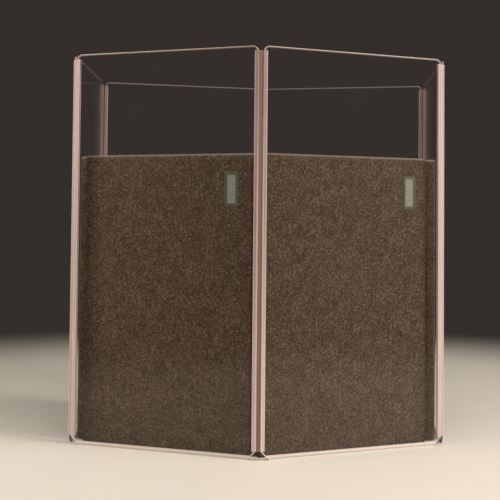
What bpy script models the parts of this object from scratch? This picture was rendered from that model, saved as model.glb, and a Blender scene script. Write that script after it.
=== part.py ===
"""Amp shield: six clear panels on living hinges stand in a closed ring round an amplifier,
and four felt-covered baffles stand inside it.

Metres, +Z up. The ring stands on z = 0 with its footprint centred on the origin, and its two
front panels face -Y. Each hinge is two stiff channels that grip the panel edges and a flexible
web between them, which bends along both of its edges.
"""

import math
from dataclasses import dataclass

import bmesh
import bpy
from mathutils import Matrix, Vector

GAP = 0.0003  # clearance left between pieces that touch

# Clear panels
PANEL_WIDTH = 0.6096
PANEL_HEIGHT = 1.2192
PANEL_THICKNESS = 0.00635
TOP_CORNER_RADIUS = 0.018
FOOT_CUT = 0.025  # 45 degree cut at both lower corners, which lets cables through
EDGE_ROUNDING = 0.0018  # buffed round on both faces of every edge

# Living hinges
CHANNEL_DEPTH = 0.0125  # from the closed end to the mouth
CHANNEL_WALL = 0.0015
CHANNEL_CORNER = 0.0012
GRIP_LENGTH = 0.0010  # each raised grip that bears on the panel
GRIP_HEIGHT = 0.00015
GRIP_SLOPE = 0.0004
AXIS_STAND = 0.0010  # from the closed end out to the bending axis
WEB_PITCH = 0.0105  # between the two bending axes of one hinge
WEB_THICKNESS = 0.0010
WEB_BEAD_RADIUS = 0.0007
HINGE_FOOT = 0.026
HINGE_TOP = 1.2045

# Felt baffles
BAFFLE_THICKNESS = 0.0406
BAFFLE_HEIGHT = 0.9035
BAFFLE_EDGE_RADIUS = 0.008
FELT = 0.0020
RETURN_WIDTH = 0.025  # felt turned in round the back
BACK_CLOTH = 0.0015
CORE_EXTRA_RADIUS = 0.0004
LABEL_WIDTH = 0.0435
LABEL_HEIGHT = 0.104
LABEL_THICKNESS = 0.0010
LABEL_CORNER = 0.002

# Heading of each panel in plan, in degrees from +X, walking away from the front centre hinge
HEADINGS = {
    "front_left": 159.83,
    "side_left": 90.68,
    "back_left": 13.74,
    "front_right": 22.17,
    "side_right": 86.31,
    "back_right": 167.63,
}

# The channels on each panel, nearer end first
CHANNEL_ENDS = {
    "front_left": ("centre", "corner"),
    "side_left": ("front", "back"),
    "back_left": ("corner",),
    "front_right": ("centre", "corner"),
    "side_right": ("front", "back"),
    "back_right": ("corner",),
}

# The web that each panel hangs from; the front left panel carries the rest of the ring
WEB_NAMES = {
    "front_right": "front_centre",
    "side_left": "front_left_corner",
    "back_left": "back_left_corner",
    "side_right": "front_right_corner",
    "back_right": "back_right_corner",
}

# Worked out from the sizes above
SLOT_HALF = PANEL_THICKNESS / 2 + GAP
CHANNEL_HALF = SLOT_HALF + CHANNEL_WALL
EDGE_TO_AXIS = GAP + CHANNEL_WALL + AXIS_STAND
AXIS_SPAN = PANEL_WIDTH + 2 * EDGE_TO_AXIS
HINGE_LENGTH = HINGE_TOP - HINGE_FOOT
HINGE_MIDDLE = (HINGE_TOP + HINGE_FOOT) / 2

COLOURS = {
    "clear_panel": ((0.86, 0.93, 0.92), 0.06, 0.18),
    "hinge_channel": ((0.62, 0.52, 0.53), 0.28, 0.62),
    "hinge_web": ((0.56, 0.46, 0.36), 0.35, 0.75),
    "felt": ((0.082, 0.071, 0.064), 0.95, 1.0),
    "core_board": ((0.62, 0.48, 0.17), 0.95, 1.0),
    "back_cloth": ((0.030, 0.028, 0.028), 0.92, 1.0),
    "label_cloth": ((0.29, 0.33, 0.27), 0.85, 1.0),
}


@dataclass
class Line:
    """The middle line of one panel in plan, from the corner nearer the front centre hinge."""

    corner: Vector
    heading: float
    turn: int  # +1 where the inside of the ring is on the left of the heading, -1 on the right

    def point(self, along, inward=0.0):
        """The plan point so far along the line and so far into the ring."""
        ahead = Vector((math.cos(self.heading), math.sin(self.heading), 0))
        left = Vector((-ahead.y, ahead.x, 0))
        return self.corner + along * ahead + inward * self.turn * left


@dataclass
class Baffle:
    """One felt-covered board, placed from the panel that it stands behind."""

    name: str
    panel: str
    near: float  # from the panel line's corner to the nearer end
    behind: float  # from the panel's middle line to the baffle's outer face at that end
    toe_in: float  # degrees that the far end turns into the ring
    width: float
    label: tuple = ()  # from the baffle's own left end and from its top, seen from outside


BAFFLES = (
    Baffle("front_left", "front_left", 0.0380, 0.0426, 0.0, 0.570, (0.478, 0.056)),
    Baffle("front_right", "front_right", 0.0145, 0.0300, 0.0, 0.570, (0.485, 0.058)),
    Baffle("side_left", "side_left", 0.0745, 0.0110, 3.5, 0.560),
    Baffle("side_right", "side_right", 0.0550, 0.0175, 0.3, 0.570),
)


def half_bend(first, second):
    """Half the angle, in radians, between two headings given in degrees."""
    bend = (second - first + 180) % 360 - 180
    return abs(math.radians(bend)) / 2


def corner_reach(bend):
    """Distance from a corner of the plan to either bending axis of the hinge there."""
    return WEB_PITCH / 2 / math.cos(bend)


def walk(names, turn, first_bend):
    """Lay panels end to end from the front centre corner.

    Gives each panel's line, and how far along it the panel's first bending axis lies.
    """
    corner = Vector((0, 0, 0))
    bend = first_bend
    laid = {}
    for index, name in enumerate(names):
        line = Line(corner, math.radians(HEADINGS[name]), turn)
        first_axis = corner_reach(bend)
        laid[name] = (line, first_axis)
        if index + 1 < len(names):
            bend = half_bend(HEADINGS[name], HEADINGS[names[index + 1]])
            corner = line.point(first_axis + AXIS_SPAN + corner_reach(bend))
    return laid


def arc(centre, radius, start, end, steps):
    """Points on an arc, both ends included; angles in degrees."""
    points = []
    for step in range(steps + 1):
        angle = math.radians(start + (end - start) * step / steps)
        points.append((centre[0] + radius * math.cos(angle), centre[1] + radius * math.sin(angle)))
    return points


def panel_outline():
    """A panel from one bending axis: rounded at the top, cut across its two lower corners."""
    left = EDGE_TO_AXIS
    right = left + PANEL_WIDTH
    shoulder = PANEL_HEIGHT - TOP_CORNER_RADIUS
    return (
        [(left, FOOT_CUT), (left + FOOT_CUT, 0), (right - FOOT_CUT, 0), (right, FOOT_CUT)]
        + arc((right - TOP_CORNER_RADIUS, shoulder), TOP_CORNER_RADIUS, 0, 90, 8)
        + arc((left + TOP_CORNER_RADIUS, shoulder), TOP_CORNER_RADIUS, 90, 180, 8)
    )


def channel_outline():
    """The U of one channel, its bending axis at the origin and its mouth towards -X.

    The closed end has rounded corners, each lip is round-nosed, and two raised grips inside
    each wall bear on the panel.
    """
    face = -AXIS_STAND
    mouth = face - CHANNEL_DEPTH
    slot_end = face - CHANNEL_WALL
    wall_inside = SLOT_HALF + GRIP_HEIGHT
    lip_radius = CHANNEL_WALL / 2
    outer_corner = (face - CHANNEL_CORNER, CHANNEL_HALF - CHANNEL_CORNER)
    lip_centre = (mouth + lip_radius, SLOT_HALF + lip_radius)
    inner_grip = slot_end - 3 * GRIP_LENGTH
    upper = arc(outer_corner, CHANNEL_CORNER, 0, 90, 4)
    upper += arc(lip_centre, lip_radius, 90, 270, 6)
    upper += [
        (mouth + lip_radius + GRIP_LENGTH, SLOT_HALF),
        (mouth + lip_radius + GRIP_LENGTH + GRIP_SLOPE, wall_inside),
        (inner_grip - GRIP_SLOPE, wall_inside),
        (inner_grip, SLOT_HALF),
        (inner_grip + GRIP_LENGTH, SLOT_HALF),
        (inner_grip + GRIP_LENGTH + GRIP_SLOPE, wall_inside),
        (slot_end, wall_inside),
    ]
    lower = [(x, -y) for x, y in reversed(upper)]
    return upper + lower


def web_outline():
    """The web's section: a thin strip with a round bead along each bending axis."""
    reach = WEB_PITCH / 2
    root = math.degrees(math.asin(WEB_THICKNESS / 2 / WEB_BEAD_RADIUS))
    right = arc((reach, 0), WEB_BEAD_RADIUS, root - 180, 180 - root, 10)
    left = arc((-reach, 0), WEB_BEAD_RADIUS, root, 360 - root, 10)
    return right + left


def label_outline():
    """The label's rounded rectangle, its top left corner at the origin."""
    left, right = LABEL_CORNER, LABEL_WIDTH - LABEL_CORNER
    top, bottom = -LABEL_CORNER, LABEL_CORNER - LABEL_HEIGHT
    return (
        arc((right, top), LABEL_CORNER, 90, 0, 3)
        + arc((right, bottom), LABEL_CORNER, 0, -90, 3)
        + arc((left, bottom), LABEL_CORNER, -90, -180, 3)
        + arc((left, top), LABEL_CORNER, 180, 90, 3)
    )


def filled_outline(name, points, thickness):
    """A flat outline filled on both sides and extruded about its own plane."""
    curve = bpy.data.curves.new(name, "CURVE")
    curve.dimensions = "2D"
    curve.fill_mode = "BOTH"
    curve.extrude = thickness / 2
    spline = curve.splines.new("POLY")
    spline.points.add(len(points) - 1)
    for point, place in zip(spline.points, points):
        point.co = (*place, 0, 1)
    spline.use_cyclic_u = True
    return curve


def make_material(name, finish):
    """A Principled material for one sub-part."""
    colour, roughness, alpha = COLOURS[finish]
    material = bpy.data.materials.new(name)
    material.use_nodes = True
    shader = material.node_tree.nodes["Principled BSDF"]
    shader.inputs["Base Color"].default_value = (*colour, 1)
    shader.inputs["Roughness"].default_value = roughness
    shader.inputs["Metallic"].default_value = 0.0
    shader.inputs["Alpha"].default_value = alpha
    return material


def add_piece(name, data, finish, parent, location=(0, 0, 0), rotation=(0, 0, 0)):
    """Add one sub-part under the empty that carries it, placed in that empty's own frame."""
    piece = bpy.data.objects.new(name, data)
    piece.parent = parent
    piece.location = location
    piece.rotation_euler = rotation
    data.materials.append(make_material(name, finish))
    bpy.data.collections["amp_shield"].objects.link(piece)
    return piece


@dataclass
class Carrier:
    """An empty with its rest place in plan, so that what it carries can be placed from it."""

    empty: object
    world: Matrix


def carrier(name, parent, place, heading):
    """An empty for one moving body, under the body that carries it."""
    empty = bpy.data.objects.new(name, None)
    empty.empty_display_size = 0.05
    bpy.data.collections["amp_shield"].objects.link(empty)
    world = Matrix.Translation(place) @ Matrix.Rotation(heading, 4, "Z")
    empty.parent = parent.empty
    empty.matrix_basis = parent.world.inverted() @ world
    return Carrier(empty, world)


def add_panel(name, body):
    """The clear sheet itself, its edges buffed round."""
    sheet = add_piece(
        name + "_panel",
        filled_outline(name + "_panel", panel_outline(), PANEL_THICKNESS),
        "clear_panel",
        body.empty,
        rotation=(math.pi / 2, 0, 0),
    )
    weld = sheet.modifiers.new("Weld", "WELD")
    weld.merge_threshold = 0.00005
    polish = sheet.modifiers.new("Buffed edge", "BEVEL")
    polish.width = EDGE_ROUNDING
    polish.segments = 3
    polish.limit_method = "ANGLE"
    polish.angle_limit = math.radians(60)


def add_channel(name, body, at_far_end):
    """The channel on one vertical edge of a panel."""
    add_piece(
        name,
        filled_outline(name, channel_outline(), HINGE_LENGTH),
        "hinge_channel",
        body.empty,
        location=(AXIS_SPAN if at_far_end else 0, 0, HINGE_MIDDLE),
        rotation=(0, 0, 0 if at_far_end else math.pi),
    )


def add_web(name, body):
    """The flexible strip, centred between its two bending axes."""
    add_piece(
        name,
        filled_outline(name, web_outline(), HINGE_LENGTH),
        "hinge_web",
        body.empty,
        location=(WEB_PITCH / 2, 0, HINGE_MIDDLE),
    )


def box_mesh(name, low, high):
    """A box between two corners, as a mesh made from a cube."""
    size = Vector(high) - Vector(low)
    middle = (Vector(high) + Vector(low)) / 2
    mesh = bpy.data.meshes.new(name)
    form = bmesh.new()
    bmesh.ops.create_cube(form, size=1, matrix=Matrix.LocRotScale(middle, None, size))
    form.to_mesh(mesh)
    form.free()
    return mesh


def round_edges(piece, radius, segments):
    """Round every sharp edge of a piece."""
    rounding = piece.modifiers.new("Rounded edges", "BEVEL")
    rounding.width = radius
    rounding.segments = segments
    rounding.limit_method = "ANGLE"
    rounding.angle_limit = math.radians(60)
    piece.data.shade_smooth()


def add_cover(name, body, width):
    """The felt: front, ends and a return turned in all round the open back."""
    mesh = box_mesh(name, (0, 0, 0), (width, BAFFLE_THICKNESS, BAFFLE_HEIGHT))
    form = bmesh.new()
    form.from_mesh(mesh)
    back = max(form.faces, key=lambda face: face.calc_center_median().y)
    bmesh.ops.inset_region(form, faces=[back], thickness=RETURN_WIDTH)
    bmesh.ops.delete(form, geom=[back], context="FACES_ONLY")
    form.to_mesh(mesh)
    form.free()
    cover = add_piece(name, mesh, "felt", body.empty)
    round_edges(cover, BAFFLE_EDGE_RADIUS, 5)
    thick = cover.modifiers.new("Felt thickness", "SOLIDIFY")
    thick.thickness = FELT
    thick.offset = -1
    thick.use_even_offset = True


def add_core(name, body, width):
    """The absorbing board that fills the cover."""
    inset = FELT + GAP
    behind = FELT + GAP + BACK_CLOTH + GAP
    low = (inset, inset, inset)
    high = (width - inset, BAFFLE_THICKNESS - behind, BAFFLE_HEIGHT - inset)
    core = add_piece(name, box_mesh(name, low, high), "core_board", body.empty)
    round_edges(core, BAFFLE_EDGE_RADIUS - inset + CORE_EXTRA_RADIUS, 3)


def add_back_cloth(name, body, width):
    """The thin cloth that closes the back, held under the cover's returns."""
    inset = BAFFLE_EDGE_RADIUS
    front = BAFFLE_THICKNESS - FELT - GAP - BACK_CLOTH
    low = (inset, front, inset)
    high = (width - inset, front + BACK_CLOTH, BAFFLE_HEIGHT - inset)
    add_piece(name, box_mesh(name, low, high), "back_cloth", body.empty)


def add_label(name, body, from_left, from_top):
    """The bare woven label on the outer face of a front baffle."""
    add_piece(
        name,
        filled_outline(name, label_outline(), LABEL_THICKNESS),
        "label_cloth",
        body.empty,
        location=(from_left, -GAP - LABEL_THICKNESS / 2, BAFFLE_HEIGHT - from_top),
        rotation=(math.pi / 2, 0, 0),
    )


def add_baffle(baffle, line, panel_body):
    """One baffle with its felt, core, back cloth and label, under the panel that it stands by."""
    heading = line.heading + line.turn * math.radians(baffle.toe_in)
    corner = line.point(baffle.near, baffle.behind)
    if line.turn < 0:
        corner = Line(corner, heading, line.turn).point(baffle.width)
        heading += math.pi
    name = "baffle_" + baffle.name
    body = carrier(name, panel_body, corner, heading)
    add_cover(name + "_cover", body, baffle.width)
    add_core(name + "_core", body, baffle.width)
    add_back_cloth(name + "_back_cloth", body, baffle.width)
    if baffle.label:
        add_label(name + "_label", body, *baffle.label)


def hang_panel(name, web_name, body, from_axis, line, first_axis):
    """Hang a panel from a body by a web; gives the empty that carries the new panel."""
    to_axis = line.point(first_axis)
    across = to_axis - from_axis
    web = carrier(web_name, body, from_axis, math.atan2(across.y, across.x))
    add_web(web_name + "_web", web)
    return carrier(name, web, to_axis, line.heading)


def dress_panel(name, body):
    """The sheet and the channels of one panel."""
    add_panel(name, body)
    for at_far_end, end in enumerate(CHANNEL_ENDS[name]):
        add_channel(f"{name}_{end}_channel", body, bool(at_far_end))


def hang_chain(laid, bodies, from_axis):
    """Hang panels one after another, the first from the front left panel."""
    body = bodies["front_left"]
    for name, (line, first_axis) in laid.items():
        body = hang_panel(name, WEB_NAMES[name], body, from_axis, line, first_axis)
        bodies[name] = body
        dress_panel(name, body)
        from_axis = line.point(first_axis + AXIS_SPAN)


def empty_scene():
    """Remove what the scene holds and make the object's collection."""
    for item in list(bpy.data.objects):
        bpy.data.objects.remove(item, do_unlink=True)
    collection = bpy.data.collections.new("amp_shield")
    bpy.context.scene.collection.children.link(collection)
    return collection


def footprint_centre(collection):
    """The middle of the whole object's box in plan."""
    bpy.context.view_layer.update()
    depsgraph = bpy.context.evaluated_depsgraph_get()
    points = []
    for piece in collection.objects:
        if piece.data:
            mesh = piece.evaluated_get(depsgraph).to_mesh()
            points += [piece.matrix_world @ vertex.co for vertex in mesh.vertices]
    lowest = [min(point[axis] for point in points) for axis in (0, 1)]
    highest = [max(point[axis] for point in points) for axis in (0, 1)]
    return Vector(((lowest[0] + highest[0]) / 2, (lowest[1] + highest[1]) / 2, 0))


def main():
    """Build the ring and its baffles, then centre the footprint on the origin."""
    collection = empty_scene()
    front_bend = half_bend(HEADINGS["front_left"] - 180, HEADINGS["front_right"])
    left = walk(("front_left", "side_left", "back_left"), -1, front_bend)
    right = walk(("front_right", "side_right", "back_right"), 1, front_bend)

    base_empty = bpy.data.objects.new("amp_shield", None)
    collection.objects.link(base_empty)
    base = Carrier(base_empty, Matrix.Identity(4))

    root_line, first_axis = left.pop("front_left")
    centre_axis = root_line.point(first_axis)
    bodies = {"front_left": carrier("front_left", base, centre_axis, root_line.heading)}
    dress_panel("front_left", bodies["front_left"])
    hang_chain(left, bodies, root_line.point(first_axis + AXIS_SPAN))
    hang_chain(right, bodies, centre_axis)

    lines = {name: line for name, (line, _) in {**left, **right}.items()}
    lines["front_left"] = root_line
    for baffle in BAFFLES:
        add_baffle(baffle, lines[baffle.panel], bodies[baffle.panel])

    base_empty.location = -footprint_centre(collection)


main()
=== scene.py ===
"""An amp shield photographed in a plain studio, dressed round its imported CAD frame.

Six clear sheets stand in a ring on living hinges, with four felt-covered baffles inside.
The sheets, hinge channels and webs keep their CAD solids and get their finishes here. The
felt, the cloths and the labels are soft, so they are made again as finer meshes that ride on
the same bodies. Everything is in metres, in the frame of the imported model.
"""

import logging
import math
from dataclasses import dataclass, field
from enum import Enum

import bmesh
import bpy
import numpy as np
from mathutils import Matrix, Vector, noise

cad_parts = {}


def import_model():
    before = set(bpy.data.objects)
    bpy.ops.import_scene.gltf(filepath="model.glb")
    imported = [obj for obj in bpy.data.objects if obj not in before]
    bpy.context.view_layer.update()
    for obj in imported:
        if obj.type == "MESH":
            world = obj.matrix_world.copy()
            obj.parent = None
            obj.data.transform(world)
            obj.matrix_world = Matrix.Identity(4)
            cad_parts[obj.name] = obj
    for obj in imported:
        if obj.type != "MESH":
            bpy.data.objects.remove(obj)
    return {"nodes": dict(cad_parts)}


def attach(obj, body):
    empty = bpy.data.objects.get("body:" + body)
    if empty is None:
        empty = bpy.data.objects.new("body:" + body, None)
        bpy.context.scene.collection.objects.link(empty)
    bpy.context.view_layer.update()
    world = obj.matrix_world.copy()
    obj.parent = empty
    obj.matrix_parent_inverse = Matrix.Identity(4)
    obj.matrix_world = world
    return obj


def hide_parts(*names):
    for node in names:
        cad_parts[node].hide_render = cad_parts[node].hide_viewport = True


LOG = logging.getLogger("amp_shield")
UP = Vector((0, 0, 1))
GLOSS_POWER = 5.0  # how quickly a clear face's gloss grows as it turns away from the eye
SAME_PLACE = 0.00002  # points nearer than this are one
SHARP_BEND = 1.0  # radians

Form = bmesh.types.BMesh
Material = bpy.types.Material
Piece = bpy.types.Object
Pieces = dict[str, Piece]
Socket = bpy.types.NodeSocket
Sockets = dict[str, Socket]
Pair = tuple[float, float]
Triple = tuple[float, float, float]
Value = float | tuple | Vector | Socket


class Part(Enum):
    """The clear panels, each with the hinge channels on its upright edges."""

    FRONT_LEFT = ("front_left", ("centre", "corner"))
    FRONT_RIGHT = ("front_right", ("centre", "corner"))
    SIDE_LEFT = ("side_left", ("front", "back"))
    SIDE_RIGHT = ("side_right", ("front", "back"))
    BACK_LEFT = ("back_left", ("corner",))
    BACK_RIGHT = ("back_right", ("corner",))

    @property
    def body(self) -> str:
        """The CAD body that the panel and its channels ride on."""
        return self.value[0]

    @property
    def in_front(self) -> bool:
        """Whether the panel faces the light in the photograph."""
        return self.body.startswith("front")

    @property
    def channel_nodes(self) -> tuple[str, ...]:
        """The CAD nodes of the panel's channels."""
        return tuple(f"{self.body}_{end}_channel" for end in self.value[1])


class Hinge(Enum):
    """The living hinges, by the corner of the ring that each one stands at."""

    FRONT_CENTRE = "front_centre"
    FRONT_LEFT = "front_left_corner"
    FRONT_RIGHT = "front_right_corner"
    BACK_LEFT = "back_left_corner"
    BACK_RIGHT = "back_right_corner"


# Placing


@dataclass(frozen=True)
class PlateFrame:
    """The frame of a flat upright piece: x along it, y through it and z up.

    Attributes:
        origin: The lowest corner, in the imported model's frame.
        along: The unit vector along the piece.
        through: The unit vector through its thickness.
        size: Its extent along, through and up.
    """

    origin: Vector
    along: Vector
    through: Vector
    size: Vector

    @classmethod
    def of_node(cls, node: Piece, through: Vector | None = None) -> "PlateFrame":
        """Read the frame off a CAD node.

        Args:
            node: The node, whose largest face is one of its broad sides.
            through: The direction through the piece where it isn't to be read off.

        Returns:
            The node's frame; y points away from the side that the largest face is on.
        """
        if through is None:
            broad = max(node.data.polygons, key=lambda face: face.area)
            through = -Vector(broad.normal)
        through = Vector((through.x, through.y, 0)).normalized()
        along = through.cross(UP)
        axes = np.array((along, through, UP))
        reach = np.array([vertex.co for vertex in node.data.vertices]) @ axes.T
        low, high = reach.min(0), reach.max(0)
        origin = Vector((low @ axes).tolist())
        return cls(origin, along, through, Vector((high - low).tolist()))

    @property
    def matrix(self) -> Matrix:
        """From the piece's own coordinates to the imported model's."""
        turn = Matrix((self.along, self.through, UP)).transposed()
        return Matrix.LocRotScale(self.origin, turn, None)

    @property
    def block(self) -> Matrix:
        """From a unit cube about the origin to the piece's box, in its own coordinates."""
        return Matrix.LocRotScale(self.size / 2, None, self.size)

    @property
    def middle(self) -> Vector:
        """The middle of the piece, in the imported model's frame."""
        return self.matrix @ (self.size / 2)


# Nodes


class Graph:
    """Adds and joins nodes in one node tree."""

    def __init__(self, tree: bpy.types.NodeTree) -> None:
        """Work in this tree."""
        self.tree = tree

    def add(
        self, kind: str, inputs: dict[str | int, Value] | None = None, **settings: object
    ) -> bpy.types.Node:
        """Add a node.

        Args:
            kind: The node's type, without its leading ShaderNode.
            inputs: Constants or sockets for the node's inputs, by name or index.
            settings: The node's own properties.

        Returns:
            The new node.
        """
        node = self.tree.nodes.new("ShaderNode" + kind)
        for name, value in settings.items():
            setattr(node, name, value)
        for key, value in (inputs or {}).items():
            self.feed(node.inputs[key], value)
        return node

    def feed(self, target: Socket, value: Value) -> None:
        """Give an input a constant, or join a socket to it.

        Args:
            target: The input.
            value: The constant, where a colour may have three channels, or the socket.
        """
        if isinstance(value, bpy.types.NodeSocket):
            self.tree.links.new(value, target)
        elif target.type == "RGBA" and len(value) == 3:
            target.default_value = (*value, 1)
        else:
            target.default_value = value

    def math(self, operation: str, *values: Value, clamp: bool = False) -> Socket:
        """One scalar operation on up to three values."""
        inputs = dict(enumerate(values))
        return self.add("Math", inputs, operation=operation, use_clamp=clamp).outputs[0]

    def times(self, first: Value, second: Value) -> Socket:
        """A product."""
        return self.math("MULTIPLY", first, second)

    def line(self, value: Value, slope: Value, start: Value) -> Socket:
        """A value times a slope, plus a start."""
        return self.math("MULTIPLY_ADD", value, slope, start)

    def minus(self, value: Value, taken: Value, clamp: bool = False) -> Socket:
        """A difference, kept from 0 to 1 where it is clamped."""
        return self.math("SUBTRACT", value, taken, clamp=clamp)

    def most(self, *values: Value) -> Socket:
        """The greater of two values."""
        return self.math("MAXIMUM", *values)

    def vector(self, operation: str, *values: Value) -> Socket:
        """One vector operation.

        Args:
            operation: The node's operation.
            values: Its inputs in order.

        Returns:
            The vector, or the number where the operation gives one.
        """
        node = self.add("VectorMath", operation=operation)
        for socket, value in zip((s for s in node.inputs if s.enabled), values):
            self.feed(socket, value)
        return next(socket for socket in node.outputs if socket.enabled)

    def scaled(self, vector: Value, factors: Triple) -> Socket:
        """A vector stretched along its three axes."""
        return self.vector("MULTIPLY", vector, factors)

    def smooth(
        self, value: Value, start: Value, end: Value, low: float = 0.0, high: float = 1.0
    ) -> Socket:
        """A smooth step from low, at start, to high, at end."""
        inputs = {"Value": value, "From Min": start, "From Max": end, "To Min": low, "To Max": high}
        return self.add("MapRange", inputs, interpolation_type="SMOOTHSTEP").outputs[0]

    def fade(self, value: Value, unit: Value, start: float, end: float) -> Socket:
        """A smooth fall from 1 to 0 between two multiples of a unit."""
        return self.smooth(value, self.times(unit, start), self.times(unit, end), 1.0, 0.0)

    def noise(
        self, vector: Value, scale: Value, detail: float = 2.0, roughness: float = 0.5
    ) -> Socket:
        """Soft noise from 0 to 1."""
        inputs = {"Vector": vector, "Scale": scale, "Detail": detail, "Roughness": roughness}
        return self.add("TexNoise", inputs).outputs[0]

    def line_noise(self, along: Value, scale: float, detail: float) -> Socket:
        """Soft noise from 0 to 1 along one number."""
        inputs = {"W": along, "Scale": scale, "Detail": detail}
        return self.add("TexNoise", inputs, noise_dimensions="1D").outputs[0]

    def mixed(self, factor: Value, first: Value, second: Value) -> Socket:
        """Two colours mixed."""
        inputs = {0: factor, 6: first, 7: second}
        return self.add("Mix", inputs, data_type="RGBA").outputs[2]

    def position(self) -> Socket:
        """The place on the object, which moves with its body."""
        return self.add("TexCoord").outputs["Object"]

    def facing(self, direction: Vector) -> Socket:
        """How far the surface faces a direction that turns with its body, from -1 to 1."""
        normal = self.add("TexCoord").outputs["Normal"]
        return self.vector("DOT_PRODUCT", normal, tuple(direction))

    def measured(self, origin: Vector, direction: Vector) -> Socket:
        """How far the place on the object lies from a point, along a direction."""
        offset = self.vector("SUBTRACT", self.position(), tuple(origin))
        return self.vector("DOT_PRODUCT", offset, tuple(direction))

    def bump(self, height: Value, distance: float, strength: float = 1.0) -> Socket:
        """A normal from a height in units of distance."""
        inputs = {"Height": height, "Distance": distance, "Strength": strength}
        return self.add("Bump", inputs).outputs["Normal"]


class Surface(Graph):
    """The nodes of a new material, round its Principled shader."""

    def __init__(self, name: str) -> None:
        """Make the material, its shader joined to its output.

        Args:
            name: The material's name.
        """
        self.material = bpy.data.materials.new(name)
        self.material.use_nodes = True
        super().__init__(self.material.node_tree)
        self.shader = self.tree.nodes["Principled BSDF"]

    def coat(self, inputs: dict[str, Value]) -> Material:
        """Feed the shader.

        Args:
            inputs: Constants or sockets for the shader's inputs, by name.

        Returns:
            The material.
        """
        for name, value in inputs.items():
            self.feed(self.shader.inputs[name], value)
        return self.material

    def wear(self, up: Socket, reach: float, amount: float) -> Sockets:
        """Dust up to a reach above the floor, smears and scratches, as masks by name."""
        place = self.position()
        return SettledDust().place(self, position=place, up=up, reach=reach, amount=amount)

    def cover(self, share: Value, layer: bpy.types.Node) -> None:
        """Lay another shader over the Principled one.

        Args:
            share: How much of it shows, from 0 to 1.
            layer: The other shader's node.
        """
        shaders = {0: share, 1: self.shader.outputs[0], 2: layer.outputs[0]}
        mixed = self.add("MixShader", shaders).outputs[0]
        self.feed(self.tree.nodes["Material Output"].inputs["Surface"], mixed)


class Effect(Graph):
    """A shader node group that is built once and placed in any material.

    Attributes:
        name: The group's name.
        inputs: The kind of each input socket, by its name.
        outputs: The kind of each output socket, by its name.
    """

    name: str
    inputs: dict[str, str]
    outputs: dict[str, str]

    def __init__(self) -> None:
        """Open the effect's node group, and fill it the first time."""
        groups = bpy.data.node_groups
        found = groups.get(self.name)
        super().__init__(found or groups.new(self.name, "ShaderNodeTree"))
        if not found:
            self.fill()

    def fill(self) -> None:
        """Make the group's sockets, and join them through the effect's own nodes."""
        nodes, interface = self.tree.nodes, self.tree.interface
        for way, sockets in (("INPUT", self.inputs), ("OUTPUT", self.outputs)):
            for name, kind in sockets.items():
                interface.new_socket(name, in_out=way, socket_type="NodeSocket" + kind)
        start, end = nodes.new("NodeGroupInput"), nodes.new("NodeGroupOutput")
        given = {name: start.outputs[name] for name in self.inputs}
        for name, socket in self.build(given).items():
            self.feed(end.inputs[name], socket)

    def build(self, given: Sockets) -> Sockets:
        """Add the effect's own nodes.

        Args:
            given: The group's inputs.

        Returns:
            What feeds its outputs, by name.
        """
        raise NotImplementedError

    def place(self, graph: Graph, **values: Value) -> Sockets:
        """Place the effect in a material.

        Args:
            graph: The material's tree.
            values: The effect's inputs, with underscores for spaces.

        Returns:
            The effect's outputs by name.
        """
        node = graph.add("Group", node_tree=self.tree)
        for name, value in values.items():
            graph.feed(node.inputs[name.replace("_", " ").title()], value)
        return {socket.name: socket for socket in node.outputs}


class NeedleFelt(Effect):
    """Heathered needle felt: pale and dark flecks in a middle ground, under long hairs."""

    name = "needle_felt"
    inputs = {
        "Position": "Vector",
        "Ground": "Color",
        "Dark Fibre": "Color",
        "Pale Fibre": "Color",
        "Fleck Size": "Float",
    }
    outputs = {"Color": "Color", "Height": "Float"}
    dark_step, pale_step, hair_step = (0.38, 0.54), (0.48, 0.68), (0.60, 0.72)
    pale_offset = (3.1, 1.7, 5.3)
    hair_turns = ((0.4, 0.9, 0.2), (1.3, -0.5, 0.8), (-0.6, 0.3, 1.9))
    hair_stretch = (1.0, 0.16, 1.0)

    def build(self, given: Sockets) -> Sockets:
        """Lay dark flecks, then pale flecks, then hairs.

        Args:
            given: The group's inputs.

        Returns:
            What feeds its outputs.
        """
        place = given["Position"]
        rate = self.math("DIVIDE", 1.0, given["Fleck Size"])
        dark_flecks = self.noise(place, rate, 1.0)
        shifted = self.vector("ADD", place, self.pale_offset)
        pale_flecks = self.noise(shifted, self.times(rate, 1.1), 1.0)
        mottle = self.noise(place, self.times(rate, 0.18))
        lean = self.line(self.smooth(mottle, 0.3, 0.7), 0.08, -0.04)
        hairs = self.hairs(place, rate)
        dark = self.smooth(self.math("ADD", dark_flecks, lean), *self.dark_step)
        ground = self.mixed(dark, given["Dark Fibre"], given["Ground"])
        pale = self.smooth(self.math("ADD", pale_flecks, lean), *self.pale_step)
        lit = self.most(self.times(pale, 0.9), self.times(hairs, 0.35))
        flecks = self.math("ADD", dark_flecks, pale_flecks)
        height = self.line(hairs, 0.35, self.times(flecks, 0.4))
        return {"Color": self.mixed(lit, ground, given["Pale Fibre"]), "Height": height}

    def hairs(self, place: Socket, rate: Socket) -> Socket:
        """Long thin fibres that lie in three directions.

        Args:
            place: The place on the felt.
            rate: One over the size of a fleck.

        Returns:
            Where a hair lies, from 0 to 1.
        """
        lying = []
        for turn in self.hair_turns:
            inputs = {"Vector": place, "Rotation": turn}
            turned = self.add("VectorRotate", inputs, rotation_type="EULER_XYZ").outputs[0]
            drawn = self.scaled(turned, self.hair_stretch)
            strands = self.noise(drawn, self.times(rate, 4.5), 1.0)
            lying.append(self.smooth(strands, *self.hair_step))
        return self.most(lying[0], self.most(lying[1], lying[2]))


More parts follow.
